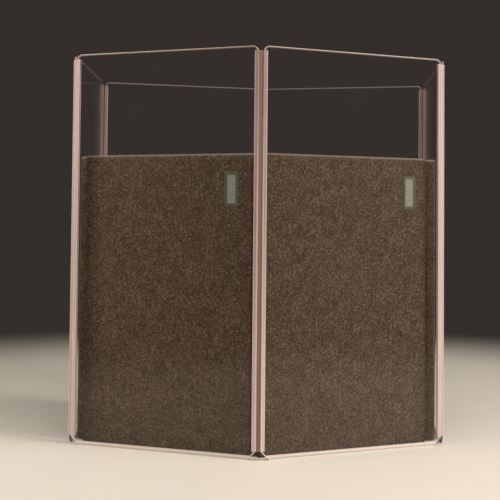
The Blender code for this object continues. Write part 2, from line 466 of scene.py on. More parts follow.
class ExtrusionLines(Effect):
    """Fine straight lines that a die leaves along an extrusion."""

    name = "extrusion_lines"
    inputs = dict.fromkeys(("Across", "Up", "Line Width"), "Float")
    outputs = dict.fromkeys(("Tone", "Height"), "Float")

    def build(self, given: Sockets) -> Sockets:
        """Run a fine and a broad noise across the section and a slow one up it.

        Args:
            given: The group's inputs.

        Returns:
            What feeds its outputs.
        """
        across = self.math("DIVIDE", given["Across"], given["Line Width"])
        fine = self.line_noise(across, 1.0, 2.0)
        broad = self.line_noise(self.times(across, 0.23), 1.0, 0.0)
        slow = self.line_noise(given["Up"], 5.0, 2.0)
        tone = self.line(fine, 0.35, self.times(broad, 0.65))
        tone = self.line(slow, 0.25, self.times(tone, 0.75))
        return {"Tone": self.smooth(tone, 0.3, 0.7), "Height": fine}


class SheetOutline(Effect):
    """How far inside its outline a place on a sheet lies, near its edges."""

    name = "sheet_outline"
    inputs = dict.fromkeys(
        ("Along", "Up", "Half Width", "Height", "Foot Cut", "Corner Radius"), "Float"
    )
    outputs = {"Inside": "Float"}

    def build(self, given: Sockets) -> Sockets:
        """Take the least distance to the rounded top, the foot and the 45 degree cuts.

        Args:
            given: The group's inputs.

        Returns:
            What feeds its output.
        """
        radius = given["Corner Radius"]
        side = self.minus(given["Half Width"], self.math("ABSOLUTE", given["Along"]))
        top = self.minus(given["Height"], given["Up"])
        corner = [self.most(self.minus(radius, gap), 0.0) for gap in (side, top)]
        squares = [self.math("POWER", reach, 2.0) for reach in corner]
        to_round = self.minus(radius, self.math("SQRT", self.math("ADD", *squares)))
        to_cut = self.minus(self.math("ADD", side, given["Up"]), given["Foot Cut"])
        to_cut = self.times(to_cut, math.sqrt(0.5))
        low = self.math("MINIMUM", given["Up"], to_cut)
        return {"Inside": self.math("MINIMUM", to_round, low)}


class BuffedBorder(Effect):
    """What a buffed edge does to the light in a clear sheet: a bright rim, then a shaded line.

    Attributes:
        rim_fade: Where the rim ends, in rim widths from the outline.
        shade_fade: Where the shaded line ends, likewise.
    """

    name = "buffed_border"
    inputs = dict.fromkeys(("Inside", "Edge Face", "Rim Width"), "Float")
    outputs = dict.fromkeys(("Rim", "Shade"), "Float")
    rim_fade = (0.75, 1.1)
    shade_fade = (1.3, 2.2)

    def build(self, given: Sockets) -> Sockets:
        """Band the distance from the outline.

        Args:
            given: The group's inputs.

        Returns:
            What feeds its outputs.
        """
        inside, width = given["Inside"], given["Rim Width"]
        rim = self.most(self.fade(inside, width, *self.rim_fade), given["Edge Face"])
        shaded = self.fade(inside, width, *self.shade_fade)
        return {"Rim": rim, "Shade": self.minus(shaded, rim, clamp=True)}


class FootBands(Effect):
    """Painted light at a sheet's foot: a white painted highlight, a mauve painted shade and a beige
    painted lit floor.

    Attributes:
        tops: Where each line ends, in thicknesses of the sheet above the floor.
        soft: Half the width of each line's soft end, likewise.
    """

    name = "foot_bands"
    inputs = dict.fromkeys(("Up", "Thickness"), "Float")
    outputs = dict.fromkeys(("White", "Mauve", "Beige"), "Float")
    tops = (0.25, 0.9, 2.0)
    soft = 0.1

    def build(self, given: Sockets) -> Sockets:
        """Stack three bands whose heights follow from the sheet's thickness.

        Args:
            given: The group's inputs.

        Returns:
            What feeds its outputs.
        """
        white, second, third = (
            self.fade(given["Up"], given["Thickness"], top - self.soft, top + self.soft)
            for top in self.tops
        )
        mauve = self.minus(second, white, clamp=True)
        return {"White": white, "Mauve": mauve, "Beige": self.minus(third, second, clamp=True)}


class SettledDust(Effect):
    """Dust and handling: a haze that thickens to the floor, smears, and hairline scratches."""

    name = "settled_dust"
    inputs = {"Position": "Vector", "Up": "Float", "Reach": "Float", "Amount": "Float"}
    outputs = dict.fromkeys(("Dust", "Smear", "Scratch"), "Float")

    def build(self, given: Sockets) -> Sockets:
        """Break a fade above the floor with noise, and scratch where a noise crosses its middle.

        Args:
            given: The group's inputs.

        Returns:
            What feeds its outputs.
        """
        place = given["Position"]
        low = self.smooth(given["Up"], 0.0, given["Reach"], 1.0, 0.12)
        grains = self.smooth(self.noise(place, 900.0, 2.0, 0.8), 0.45, 0.75)
        patches = self.smooth(self.noise(place, 9.0, 3.0), 0.35, 0.75)
        dust = self.times(self.line(grains, 0.7, 0.3), self.times(low, patches))
        wiped = self.scaled(place, (1.0, 1.0, 0.35))
        smear = self.smooth(self.noise(wiped, 14.0, 4.0, 0.6), 0.4, 0.8)
        bent = self.noise(self.scaled(place, (6.0, 6.0, 1.3)), 3.0, 1.0)
        off_middle = self.math("ABSOLUTE", self.minus(bent, 0.5))
        hairline = self.smooth(off_middle, 0.0, 0.0012, 1.0, 0.0)
        where = self.smooth(self.noise(place, 5.0, 1.0), 0.58, 0.68)
        return {
            "Dust": self.times(dust, given["Amount"]),
            "Smear": smear,
            "Scratch": self.times(hairline, where),
        }


class PlainWeave(Effect):
    """A plain weave: warp and weft threads that pass over each other in turn."""

    name = "plain_weave"
    inputs = dict.fromkeys(("Across", "Up", "Pitch"), "Float")
    outputs = dict.fromkeys(("Warp", "Height"), "Float")

    def build(self, given: Sockets) -> Sockets:
        """Multiply two waves, and let the sign say which thread is on top.

        Args:
            given: The group's inputs.

        Returns:
            What feeds its outputs.
        """
        rate = self.math("DIVIDE", math.pi, given["Pitch"])
        waves = [self.math("SINE", self.times(given[way], rate)) for way in ("Across", "Up")]
        product = self.times(*waves)
        warp = self.smooth(product, -0.12, 0.12)
        return {"Warp": warp, "Height": self.math("ABSOLUTE", product)}


# Finishes


@dataclass(frozen=True)
class ClearSheet:
    """Cast acrylic: see-through faces with soft gloss, edges that carry the light, and painted
    light and shade at the foot and on the 45 degree cuts.

    Attributes:
        polish: Its least roughness, and what smears add.
        edge_turn: How far a face turns off the broad side to count as an edge, as cosines.
        cut_turns: Where the 45 degree cuts start and end between level and upright, likewise.
        foot_glow: The heights that the painted highlight on the foot's rim fades between.
    """

    rim_colour: Triple = (0.66, 0.50, 0.41)
    shade_colour: Triple = (0.30, 0.22, 0.21)
    foot_white: Triple = (0.97, 0.94, 0.90)
    foot_mauve: Triple = (0.66, 0.50, 0.46)
    foot_beige: Triple = (0.95, 0.83, 0.72)
    # painted shade on the 45 degree cut faces, and how solid it is
    cut_colour: Triple = (0.050, 0.022, 0.018)
    rim_solid: float = 0.88
    shade_solid: float = 0.34
    cut_solid: float = 0.95
    rim_width: float = 0.0026
    foot_cut: float = 0.025
    corner_radius: float = 0.018
    face_gloss: float = 0.011
    edge_gloss: float = 0.16
    dust_reach: float = 0.12
    dust_amount: float = 0.03
    scratch: float = 0.06
    polish: Pair = (0.05, 0.10)
    edge_turn: Pair = (0.80, 0.97)
    cut_turns: tuple[Pair, Pair] = ((0.45, 0.6), (0.8, 0.95))
    foot_glow: Pair = (0.024, 0.045)

    def make(self, name: str, frame: PlateFrame) -> Material:
        """Make the finish for one sheet.

        Args:
            name: The material's name.
            frame: The sheet's frame, which the edge lines are measured in.

        Returns:
            The material.
        """
        surface = Surface(name)
        up = surface.measured(frame.origin, UP)
        inside = SheetOutline().place(
            surface,
            along=surface.measured(frame.middle, frame.along),
            up=up,
            half_width=frame.size.x / 2,
            height=frame.size.z,
            foot_cut=self.foot_cut,
            corner_radius=self.corner_radius,
        )["Inside"]
        broad = surface.math("ABSOLUTE", surface.facing(frame.through))
        border = BuffedBorder().place(
            surface,
            inside=inside,
            edge_face=surface.smooth(broad, *self.edge_turn, 1.0, 0.0),
            rim_width=self.rim_width,
        )
        under = surface.times(surface.facing(UP), -1.0)
        # The downward 45 degree cut faces are darkened as painted shade, standing in for the shade
        # in the gaps under the hinge feet.
        cut = surface.minus(*(surface.smooth(under, *turn) for turn in self.cut_turns))
        solid = surface.times(border["Rim"], self.rim_solid)
        solid = surface.line(border["Shade"], self.shade_solid * self.rim_solid, solid)
        # The rim turns white towards the floor: a painted highlight.
        low = surface.smooth(up, *self.foot_glow, 1.0, 0.0)
        colour = surface.mixed(low, self.rim_colour, self.foot_white)
        colour = surface.mixed(border["Shade"], colour, self.shade_colour)
        # Lines along the foot: painted highlight, painted shade and a painted lit floor.
        bands = FootBands().place(surface, up=up, thickness=frame.size.y)
        for band, tint, strength in (
            ("Beige", self.foot_beige, 0.85),
            ("Mauve", self.foot_mauve, 0.92),
            ("White", self.foot_white, 1.0),
        ):
            colour = surface.mixed(bands[band], colour, tint)
            solid = surface.most(solid, surface.times(bands[band], strength * self.rim_solid))
        solid = surface.most(solid, surface.times(cut, self.cut_solid))
        wear = surface.wear(up, self.dust_reach, self.dust_amount)
        marks = surface.line(wear["Scratch"], self.scratch, wear["Dust"])
        grazing = surface.add("LayerWeight", {"Blend": 0.5}).outputs["Facing"]
        steep = surface.math("POWER", grazing, GLOSS_POWER)
        share = surface.line(steep, self.edge_gloss, self.face_gloss)
        least, smeared = self.polish
        gloss = {"Color": (1, 1, 1), "Roughness": surface.line(wear["Smear"], smeared, least)}
        surface.cover(share, surface.add("BsdfAnisotropic", gloss, distribution="MULTI_GGX"))
        return surface.coat(
            {
                "Base Color": surface.mixed(cut, colour, self.cut_colour),
                "Alpha": surface.most(solid, marks),
                "Roughness": surface.line(border["Rim"], -0.35, 0.6),
            }
        )


@dataclass(frozen=True)
class Extrusion:
    """What the hinges' channels and webs share: die lines, and dust from the floor.

    Attributes:
        solidity: How solid it looks, from 0 to 1.
        clearer: How much less solid it looks between its lines.
        paleness: How much paler it is painted all over, from 0 to 1, as painted light.
        line_width: The spacing of the die lines.
        line_depth: Their depth.
        polish: Its least roughness, and what smears add.
    """

    solidity: float
    clearer: float
    paleness: float = 0.0
    line_width: float = 0.0006
    line_depth: float = 0.00012
    polish: Pair = (0.24, 0.16)
    dust: Triple = (0.62, 0.58, 0.52)
    dust_reach: float = 0.20
    dust_amount: float = 0.5

    def lines(self, surface: Surface, across: Socket, up: Socket) -> Sockets:
        """The die lines, from the place across the section and the height."""
        return ExtrusionLines().place(surface, across=across, up=up, line_width=self.line_width)

    def solid(self, surface: Surface, lines: Sockets) -> Socket:
        """How solid it looks between and on its lines."""
        return surface.line(lines["Tone"], self.clearer, self.solidity - self.clearer)

    def finished(
        self, surface: Surface, up: Socket, lines: Sockets, colour: Socket, solid: Socket
    ) -> Material:
        """Dust the extrusion and feed its shader.

        Args:
            surface: The material's nodes.
            up: The height above the floor.
            lines: The die lines.
            colour: The clean colour.
            solid: How solid each place looks.

        Returns:
            The material.
        """
        wear = surface.wear(up, self.dust_reach, self.dust_amount)
        least, smeared = self.polish
        return surface.coat(
            {
                "Base Color": surface.mixed(surface.times(wear["Dust"], 0.4), colour, self.dust),
                "Alpha": solid,
                "Roughness": surface.line(wear["Smear"], smeared, least),
                "Normal": surface.bump(lines["Height"], self.line_depth, 0.6),
            }
        )


@dataclass(frozen=True)
class HingeChannel(Extrusion):
    """Stiff smoky extrusion that lets some light through, paler at its lips, with a painted
    highlight at its closed end and a painted shade band beside it.
    """

    solidity: float = 0.86
    clearer: float = 0.14
    end_colour: Triple = (0.68, 0.50, 0.44)
    band_colour: Triple = (0.36, 0.215, 0.24)
    body_colour: Triple = (0.50, 0.345, 0.33)
    lip_colour: Triple = (0.74, 0.54, 0.48)
    foot_colour: Triple = (0.92, 0.765, 0.705)
    foot_paleness: float = 0.62
    depth: float = 0.0125
    lip: float = 0.0022

    def make(self, name: str, closed_end: Vector, mouth: Vector) -> Material:
        """Make the finish for one channel.

        Args:
            name: The material's name.
            closed_end: A point on the channel's closed end.
            mouth: The unit vector from there to its mouth.

        Returns:
            The material.
        """
        surface = Surface(name)
        deep = surface.measured(closed_end, mouth)
        up = surface.measured(Vector((0, 0, 0)), UP)
        lines = self.lines(surface, deep, up)
        # A painted highlight along the closed end, a painted shade band from there to the middle,
        # and the end painted darker towards the top.
        at_lip = surface.smooth(deep, self.depth - self.lip * 1.3, self.depth - self.lip * 0.8)
        at_end = surface.smooth(deep, self.lip * 1.2, self.lip * 1.7, 1.0, 0.0)
        at_body = surface.smooth(deep, self.depth * 0.42, self.depth * 0.56)
        colour = surface.mixed(at_body, self.band_colour, self.body_colour)
        shaded = surface.smooth(up, 0.75, 1.15, 0.0, 0.7)
        end_colour = surface.mixed(shaded, self.end_colour, self.band_colour)
        colour = surface.mixed(at_end, colour, end_colour)
        colour = surface.mixed(at_lip, colour, self.lip_colour)
        foot = max(self.foot_paleness, self.paleness)
        low = surface.smooth(up, 0.0, 0.9, foot, self.paleness)
        colour = surface.mixed(surface.line(lines["Tone"], 0.16, low), colour, self.foot_colour)
        edges = surface.times(surface.most(at_lip, at_end), self.solidity)
        solid = surface.most(self.solid(surface, lines), edges)
        return self.finished(surface, up, lines, colour, solid)


@dataclass(frozen=True)
class HingeWeb(Extrusion):
    """Flexible strip, whitened where it bends, with a painted highlight along its middle."""

    solidity: float = 0.90
    clearer: float = 0.10
    line_width: float = 0.0009
    line_depth: float = 0.0001
    polish: Pair = (0.38, 0.2)
    dust: Triple = (0.60, 0.56, 0.50)
    colour: Triple = (0.33, 0.22, 0.15)
    foot_colour: Triple = (0.23, 0.15, 0.095)
    bent_colour: Triple = (0.53, 0.40, 0.315)

    def make(self, name: str, frame: PlateFrame) -> Material:
        """Make the finish for one web.

        Args:
            name: The material's name.
            frame: The web's frame.

        Returns:
            The material.
        """
        surface = Surface(name)
        across = surface.measured(frame.middle, frame.along)
        up = surface.measured(frame.origin, UP)
        lines = self.lines(surface, across, up)
        from_middle = surface.math("ABSOLUTE", across)
        half = frame.size.x / 2
        bent = surface.smooth(from_middle, half * 0.78, half * 0.96)
        # A pale line along the middle: a painted highlight.
        crest_highlight = surface.smooth(from_middle, half * 0.08, half * 0.28, 0.6, 0.0)
        pale = surface.most(bent, surface.most(crest_highlight, self.paleness))
        pale = surface.times(pale, surface.line(lines["Tone"], 0.4, 0.6))
        colour = surface.mixed(surface.smooth(up, 0.0, 0.7), self.foot_colour, self.colour)
        colour = surface.mixed(pale, colour, self.bent_colour)
        return self.finished(surface, up, lines, colour, self.solid(surface, lines))


@dataclass(frozen=True)
class Felt:
    """Heathered grey-brown needle felt with a sheen, its upward-facing edges painted lighter as a
    painted highlight.
    """

    ground: Triple = (0.085, 0.0555, 0.0345)
    dark_fibre: Triple = (0.048, 0.0312, 0.0195)
    pale_fibre: Triple = (0.168, 0.122, 0.082)
    lint: Triple = (0.30, 0.235, 0.18)
    nap: Triple = (0.80, 0.62, 0.46)
    fleck_size: float = 0.0066
    depth: float = 0.0016

    def make(self, name: str) -> Material:
        """Make the felt; one material serves all the covers.

        Args:
            name: The material's name.

        Returns:
            The material.
        """
        surface = Surface(name)
        felt = NeedleFelt().place(
            surface,
            position=surface.position(),
            ground=self.ground,
            dark_fibre=self.dark_fibre,
            pale_fibre=self.pale_fibre,
            fleck_size=self.fleck_size,
        )
        # Surfaces that face up are painted lighter: a painted highlight from the light above, not
        # lint.
        top_light_share = surface.smooth(surface.facing(UP), 0.0, 0.6, 0.0, 0.5)
        return surface.coat(
            {
                "Base Color": surface.mixed(top_light_share, felt["Color"], self.lint),
                "Roughness": surface.line(felt["Height"], 0.12, 0.86),
                "Normal": surface.bump(felt["Height"], self.depth, 0.8),
                "Specular IOR Level": 0.12,
                "Sheen Weight": 0.10,
                "Sheen Roughness": 0.5,
                "Sheen Tint": self.nap,
            }
        )


@dataclass(frozen=True)
class FibreBoard:
    """Pressed mineral fibre board, laid in thin sheets."""

    pale: Triple = (0.66, 0.55, 0.28)
    deep: Triple = (0.42, 0.31, 0.10)

    def make(self, name: str) -> Material:
        """Make the board.

        Args:
            name: The material's name.

        Returns:
            The material.
        """
        surface = Surface(name)
        strands = surface.noise(surface.position(), 160.0, 5.0, 0.7)
        clots = surface.noise(surface.position(), 22.0)
        tone = surface.line(strands, 0.7, surface.times(clots, 0.3))
        return surface.coat(
            {
                "Base Color": surface.mixed(surface.smooth(tone, 0.35, 0.65), self.deep, self.pale),
                "Roughness": surface.line(strands, 0.1, 0.88),
                "Normal": surface.bump(strands, 0.002),
            }
        )


@dataclass(frozen=True)
class WovenCloth:
    """A plain-woven cloth in two thread colours, with an optional coloured border.

    Attributes:
        warp: The colour of the upright threads.
        weft: The colour of the level threads.
        pitch: The spacing of the threads.
        border: The colour of the border band.
        border_at: Where the band starts and ends, from the cloth's edge.
        rib: The spacing of level ribs, or 0 for none.
        gap: The colour between the threads.
    """

    warp: Triple
    weft: Triple
    pitch: float
    border: Triple = (0, 0, 0)
    border_at: Pair = (0.0, 0.0)
    rib: float = 0.0
    gap: Triple = (0.02, 0.02, 0.018)

    def make(self, name: str, frame: PlateFrame) -> Material:
        """Make the cloth for one piece, its threads square to that piece.

        Args:
            name: The material's name.
            frame: The piece's frame.

        Returns:
            The material.
        """
        surface = Surface(name)
        across = surface.measured(frame.middle, frame.along)
        up = surface.measured(frame.middle, UP)
        weave = PlainWeave().place(surface, across=across, up=up, pitch=self.pitch)
        slubs = surface.noise(surface.scaled(surface.position(), (1.0, 1.0, 3.0)), 240.0)
        colour = surface.mixed(weave["Warp"], self.weft, self.warp)
        if self.rib > 0:
            ridge = surface.math("SINE", surface.times(up, math.tau / self.rib))
            colour = surface.mixed(surface.smooth(ridge, -0.6, 0.6, 0.0, 0.45), colour, self.weft)
        if self.border_at[1] > 0:
            sides = [
                surface.minus(half, surface.math("ABSOLUTE", offset))
                for half, offset in ((frame.size.x / 2, across), (frame.size.z / 2, up))
            ]
            inside = surface.math("MINIMUM", *sides)
            start, end = self.border_at
            begun = surface.smooth(inside, start - self.pitch, start + self.pitch)
            over = surface.smooth(inside, end - self.pitch, end + self.pitch, 1.0, 0.0)
            band = surface.times(surface.times(begun, over), 0.85)
            colour = surface.mixed(band, colour, self.border)
        worn = surface.smooth(slubs, 0.3, 0.7, 0.0, 0.4)
        return surface.coat(
            {
                "Base Color": surface.mixed(worn, colour, self.gap),
                "Roughness": surface.line(slubs, 0.15, 0.72),
                "Normal": surface.bump(weave["Height"], self.pitch * 0.3, 0.8),
                "Sheen Weight": 0.2,
            }
        )


@dataclass(frozen=True)
class Thread:
    """Spun sewing thread, its twist drawn at a slant."""

    colour: Triple = (0.16, 0.20, 0.13)
    highlight: float = 1.6
    twist: float = 9000.0

    def make(self, name: str) -> Material:
        """Make the thread.

        Args:
            name: The material's name.

        Returns:
            The material.
        """
        surface = Surface(name)
        x, y, z = surface.add("SeparateXYZ", {0: surface.position()}).outputs
        slant = surface.math("ADD", surface.math("ADD", x, y), z)
        tone = surface.smooth(surface.math("SINE", surface.times(slant, self.twist)), -1.0, 1.0)
        pale = tuple(channel * self.highlight for channel in self.colour)
        return surface.coat(
            {
                "Base Color": surface.mixed(tone, self.colour, pale),
                "Roughness": surface.line(tone, -0.1, 0.65),
                "Normal": surface.bump(tone, 0.0001),
            }
        )


# Making meshes


def add_object(name: str, form: Form, matrix: Matrix, smooth: bool = True) -> Piece:
    """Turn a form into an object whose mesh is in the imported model's frame.

    Args:
        name: The object's name.
        form: The form in the piece's own coordinates; it is freed.
        matrix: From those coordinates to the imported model's.
        smooth: Whether its faces are shaded smooth.

    Returns:
        The object, in the scene.
    """
    mesh = bpy.data.meshes.new(name)
    form.to_mesh(mesh)
    form.free()
    mesh.transform(matrix)
    if smooth:
        mesh.shade_smooth()
    piece = bpy.data.objects.new(name, mesh)
    bpy.context.scene.collection.objects.link(piece)
    return piece


def cut_into_cells(form: Form, axis: int, low: float, high: float, cell: float) -> None:
    """Cut a form across one axis at even steps.

    Args:
        form: The form to cut.
        axis: 0, 1 or 2 for x, y or z.
        low: Where the first cell starts.
        high: Where the last cell ends.
        cell: About how long each cell is.
    """
    count = max(1, round((high - low) / cell))
    point, normal = [0.0, 0.0, 0.0], [0.0, 0.0, 0.0]
    normal[axis] = 1.0
    for step in range(1, count):
        point[axis] = low + (high - low) * step / count
        everything = [*form.verts, *form.edges, *form.faces]
        bmesh.ops.bisect_plane(
            form, geom=everything, plane_co=point, plane_no=normal, dist=SAME_PLACE
        )


def drift(place: Vector, size: float, seed: float) -> float:
    """Smooth noise from about -1 to 1 with waves of this size in metres."""
    return noise.noise(place / size + Vector((seed, seed * 1.7, seed * 0.3)))


def thickened(piece: Piece, thickness: float, offset: int, even: bool = False) -> Piece:
    """Give an open skin its thickness.

    Args:
        piece: The skin's object.
        thickness: The skin's thickness.
        offset: -1 to thicken it inwards, or 0 both ways.
        even: Whether corners keep the full thickness.

    Returns:
        The same object, its mesh now closed.
    """
    thick = piece.modifiers.new("Thickness", "SOLIDIFY")
    thick.thickness = thickness
    thick.offset = offset
    thick.use_even_offset = even
    depsgraph = bpy.context.evaluated_depsgraph_get()
    final = bpy.data.meshes.new_from_object(piece.evaluated_get(depsgraph))
    final.name = piece.name
    piece.modifiers.clear()
    piece.data = final
    return piece


def fit(piece: Piece, material: Material, body: str, replaced: str = "") -> None:
    """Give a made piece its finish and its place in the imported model.

    Args:
        piece: The piece.
        material: Its finish.
        body: The CAD body that it rides on.
        replaced: The CAD node that it replaces, if any.
    """
    piece.data.materials.append(material)
    if replaced:
        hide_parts(replaced)
    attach(piece, body)


def recoat(node: Piece, material: Material) -> None:
    """Put a material in every slot of a CAD node."""
    for place in node.material_slots:
        place.material = material


# The shield's own pieces


@dataclass(frozen=True)
class ClearPanel:
    """One clear sheet and the channels that grip it."""

    part: Part

    @property
    def sheet(self) -> ClearSheet:
        """The sheet's finish.

        Returns:
            The finish; the edges of the side and back sheets carry less light.
        """
        if self.part.in_front:
            return ClearSheet()
        return ClearSheet(rim_colour=(0.30, 0.19, 0.16), rim_solid=0.8)

    @staticmethod
    def channel(name: str) -> HingeChannel:
        """The finish of one channel.

        Args:
            name: The channel's CAD node.

        Returns:
            The finish: clearer at the back corners, and painted paler at the front corners as
                painted light.
        """
        if "back" in name:
            return HingeChannel(solidity=0.27)
        # The front corners' channels are painted paler: painted light.
        return HingeChannel() if "centre" in name else HingeChannel(paleness=0.36)

    def dress(self, nodes: Pieces) -> None:
        """Give the sheet and its channels their finishes.

        Args:
            nodes: The CAD nodes by name.
        """
        name = self.part.body + "_panel"
        frame = PlateFrame.of_node(nodes[name])
        recoat(nodes[name], self.sheet.make(name, frame))
        for channel in self.part.channel_nodes:
            axis = self.channel_axis(nodes[channel], frame)
            recoat(nodes[channel], self.channel(channel).make(channel, *axis))
        LOG.info("%s: clear sheet with %d channels", name, len(self.part.channel_nodes))

    @staticmethod
    def channel_axis(node: Piece, sheet: PlateFrame) -> tuple[Vector, Vector]:
        """Find which way a channel opens.

        Args:
            node: The channel's CAD node.
            sheet: The frame of the sheet that it grips.

        Returns:
            A point on its closed end, and the unit vector from there to its mouth.
        """
        own = PlateFrame.of_node(node, sheet.through)
        ahead = (sheet.middle - own.middle).dot(sheet.along)
        mouth = sheet.along if ahead > 0 else -sheet.along
        return own.middle - mouth * own.size.x / 2, mouth


@dataclass(frozen=True)
class FlexibleWeb:
    """The flexible web between the two channels of a living hinge."""

    hinge: Hinge

    @property
    def finish(self) -> HingeWeb:
        """The web's finish.

        Returns:
            The finish: clearer at the back corners, and painted paler at the front corners as
                painted light.
        """
        if self.hinge in (Hinge.BACK_LEFT, Hinge.BACK_RIGHT):
            return HingeWeb(solidity=0.30)
        if self.hinge is Hinge.FRONT_CENTRE:
            return HingeWeb()
        # The front corners' webs are painted paler: painted light.
        return HingeWeb(bent_colour=(0.80, 0.61, 0.55), paleness=0.9)

    def dress(self, nodes: Pieces) -> None:
        """Give the web its finish.

        Args:
            nodes: The CAD nodes by name.
        """
        node = nodes[self.hinge.value + "_web"]
        recoat(node, self.finish.make(node.name, PlateFrame.of_node(node)))
        LOG.info("%s: flexible web", node.name)


@dataclass(frozen=True)
class Baffle:
    """A board in a tight felt cover, closed behind by a dark cloth.

    Attributes:
        name: The baffle's name, without its leading baffle_.
        edge_radius: The rounding of the felt over the board's edges.
        felt: The felt's thickness.
        turned_in: The width of felt turned in round the back.
        swell: How far the felt's front stands proud at its middle.
        waviness: The height of its waves.
        waves: The sizes of its slow and quick waves.
        cloth: The thickness of the back cloth.
        ripple: The size of the back cloth's ripples.
    """

    name: str
    edge_radius: float = 0.008
    felt: float = 0.0020
    turned_in: float = 0.025
    cell: float = 0.014
    swell: float = 0.0012
    waviness: float = 0.0007
    waves: Pair = (0.16, 0.05)
    cloth: float = 0.0012
    cloth_cells: tuple[int, int] = (24, 38)
    ripple: float = 0.12

    @property
    def body(self) -> str:
        """The CAD body that the baffle's pieces ride on."""
        return "baffle_" + self.name

    def build(self, nodes: Pieces, felt: Material) -> None:
        """Make the felt cover and the back cloth, and dress the board between them.

        Args:
            nodes: The CAD nodes by name.
            felt: The felt's material.
        """
        core, behind = self.body + "_core", self.body + "_back_cloth"
        frame = PlateFrame.of_node(nodes[self.body + "_cover"])
        cover = self.cover(frame)
        fit(cover, felt, self.body, self.body + "_cover")
        frame = PlateFrame.of_node(nodes[behind], frame.through)
        cloth = self.back_cloth(frame)
        weave = WovenCloth(warp=(0.035, 0.033, 0.033), weft=(0.018, 0.017, 0.018), pitch=0.0009)
        fit(cloth, weave.make(cloth.name, frame), self.body, behind)
        recoat(nodes[core], FibreBoard().make(core))
        LOG.info("%s: felt cover with %d faces", self.body, len(cover.data.polygons))

    def cover(self, frame: PlateFrame) -> Piece:
        """Make the felt as one closed skin, rounded over the board and turned in behind it.

        Args:
            frame: The cover's frame.

        Returns:
            The cover.
        """
        form = bmesh.new()
        bmesh.ops.create_cube(form, size=1, matrix=frame.block)
        back = max(form.faces, key=lambda face: face.calc_center_median().y)
        bmesh.ops.inset_region(form, faces=[back], thickness=self.turned_in)
        hem = list(back.edges)
        bmesh.ops.delete(form, geom=[back], context="FACES_ONLY")
        corners = [
            edge for edge in form.edges if edge not in hem and edge.calc_face_angle(0) > SHARP_BEND
        ]
        bmesh.ops.bevel(
            form, geom=corners, offset=self.edge_radius, segments=6, profile=0.5, affect="EDGES"
        )
        for axis in (0, 2):
            end = frame.size[axis] - self.edge_radius
            cut_into_cells(form, axis, self.edge_radius, end, self.cell)
        self.relax(form, frame)
        cover = add_object(self.body + "_felt_cover", form, frame.matrix)
        return thickened(cover, self.felt, -1, even=True)

    def relax(self, form: Form, frame: PlateFrame) -> None:
        """Let the felt stand proud in the middle of its front, in slow waves.

        Args:
            form: The felt's skin, which is changed.
            frame: The cover's frame.
        """
        slow, quick = self.waves
        seed = sum(map(ord, self.name)) * 0.11
        for vertex in form.verts:
            shares = [min(max(at / size, 0), 1) for at, size in zip(vertex.co, frame.size)]
            across, up = (math.sin(math.pi * shares[axis]) for axis in (0, 2))
            wave = drift(vertex.co, slow, seed) + 0.5 * drift(vertex.co, quick, seed + 3)
            wave *= self.waviness * min(1, min(across, up) * 4)
            proud = self.swell * math.sqrt(across * up) + wave
            vertex.co.y -= max(0.0, proud) * (1 - shares[1])

    def back_cloth(self, frame: PlateFrame) -> Piece:
        """Make the cloth behind the board, drawn tight but for slow ripples.

        Args:
            frame: The cloth's frame.

        Returns:
            The cloth.
        """
        form = bmesh.new()
        across, up = self.cloth_cells
        bmesh.ops.create_grid(form, x_segments=across, y_segments=up, size=0.5)
        slack = frame.size.y - self.cloth
        for vertex in form.verts:
            x, z = vertex.co.x + 0.5, vertex.co.y + 0.5
            place = Vector((x * frame.size.x, 0, z * frame.size.z))
            free = min(1.0, 8 * min(x, z, 1 - x, 1 - z))
            place.y = slack * (0.5 + 0.4 * free * drift(place, self.ripple, 5.0))
            vertex.co = place
        bmesh.ops.recalc_face_normals(form, faces=form.faces)
        cloth = add_object(self.body + "_closing_cloth", form, frame.matrix)
        return thickened(cloth, self.cloth, 0)


